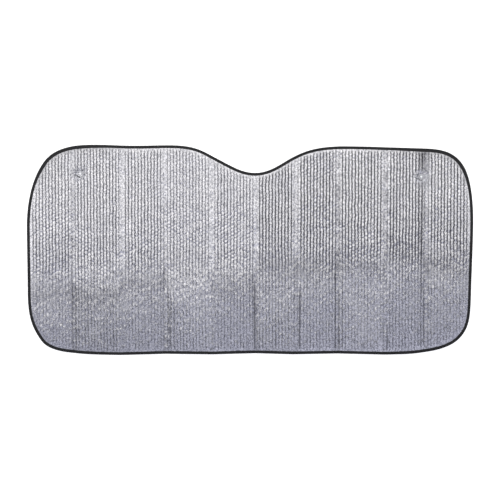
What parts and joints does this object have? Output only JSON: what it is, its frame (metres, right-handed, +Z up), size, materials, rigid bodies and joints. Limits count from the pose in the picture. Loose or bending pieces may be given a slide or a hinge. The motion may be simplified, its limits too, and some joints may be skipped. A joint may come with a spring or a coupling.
{
  "type": "windscreen sunshade",
  "caption": "Folding silver bubble-foil windscreen sunshade, zigzag creased and cut round the rear-view mirror, with a bound edge and clear suction cups in its upper corners.",
  "frame": {"origin": "under the middle of the bound outline, on the floor the sunshade lies on", "axes": "+X along the long side, to the right in the picture, +Y towards the edge with the mirror notch, +Z up out of the bubbled side"},
  "size_m": [1.28, 0.605, 0.0252],
  "materials": {
    "metallised_foil": "bright silver metallised film laminated on bubble film, finely crinkled",
    "woven_tape": "black woven polyester binding tape, lock stitched",
    "clear_pvc": "clear soft PVC, moulded, glossy"
  },
  "bodies": {
    "root": {"bubble_foil_sheet": "metallised_foil", "edge_binding": "woven_tape", "suction_cup_left": "clear_pvc", "suction_cup_right": "clear_pvc"}
  },
  "joints": []
}
